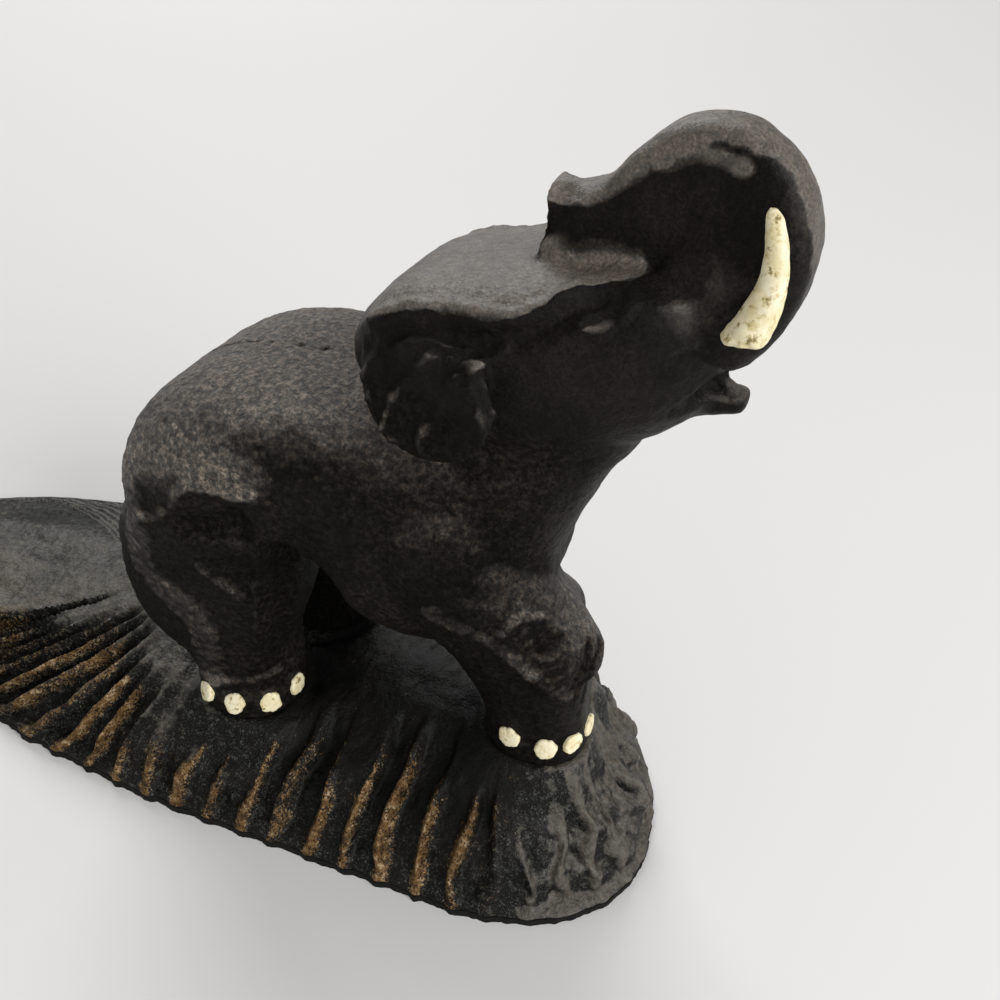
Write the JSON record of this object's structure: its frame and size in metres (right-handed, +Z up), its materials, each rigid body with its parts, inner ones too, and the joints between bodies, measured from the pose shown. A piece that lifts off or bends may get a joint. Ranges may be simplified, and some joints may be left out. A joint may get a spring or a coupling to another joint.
{
  "type": "doorstop",
  "caption": "Painted cast iron doorstop: an elephant with its trunk thrown back, striding on a long ridged rock wedge.",
  "frame": {"origin": "middle of the box round the doorstop, on the floor that it stands on", "axes": "+X from the wedge's thin tail to the elephant's head, +Y to the elephant's left, +Z up"},
  "size_m": [0.248, 0.0928, 0.1708],
  "materials": {
    "brown_black_paint": "satin paint over pitted iron, grey sheen on top",
    "bronzed_black_paint": "black paint with bronze rubbed on the ridges",
    "ivory_paint": "satin ivory with brown stains",
    "bright_steel": "plain machine screws, out of sight",
    "black_rubber": "matt sheet with a rough cut edge"
  },
  "bodies": {
    "root": {"wedge_base": "bronzed_black_paint", "elephant_right_half": "brown_black_paint", "elephant_left_half": "brown_black_paint", "right_tusk": "ivory_paint", "left_tusk": "ivory_paint", "front_right_toenail_1": "ivory_paint", "front_right_toenail_2": "ivory_paint", "front_right_toenail_3": "ivory_paint", "front_right_toenail_4": "ivory_paint", "front_left_toenail_1": "ivory_paint", "front_left_toenail_2": "ivory_paint", "front_left_toenail_3": "ivory_paint", "front_left_toenail_4": "ivory_paint", "hind_right_toenail_1": "ivory_paint", "hind_right_toenail_2": "ivory_paint", "hind_right_toenail_3": "ivory_paint", "hind_right_toenail_4": "ivory_paint", "hind_left_toenail_1": "ivory_paint", "hind_left_toenail_2": "ivory_paint", "hind_left_toenail_3": "ivory_paint", "hind_left_toenail_4": "ivory_paint", "rump_screw": "bright_steel", "chest_screw": "bright_steel", "front_right_foot_screw": "bright_steel", "front_left_foot_screw": "bright_steel", "hind_right_foot_screw": "bright_steel", "hind_left_foot_screw": "bright_steel", "underside_pad": "black_rubber"}
  },
  "joints": []
}
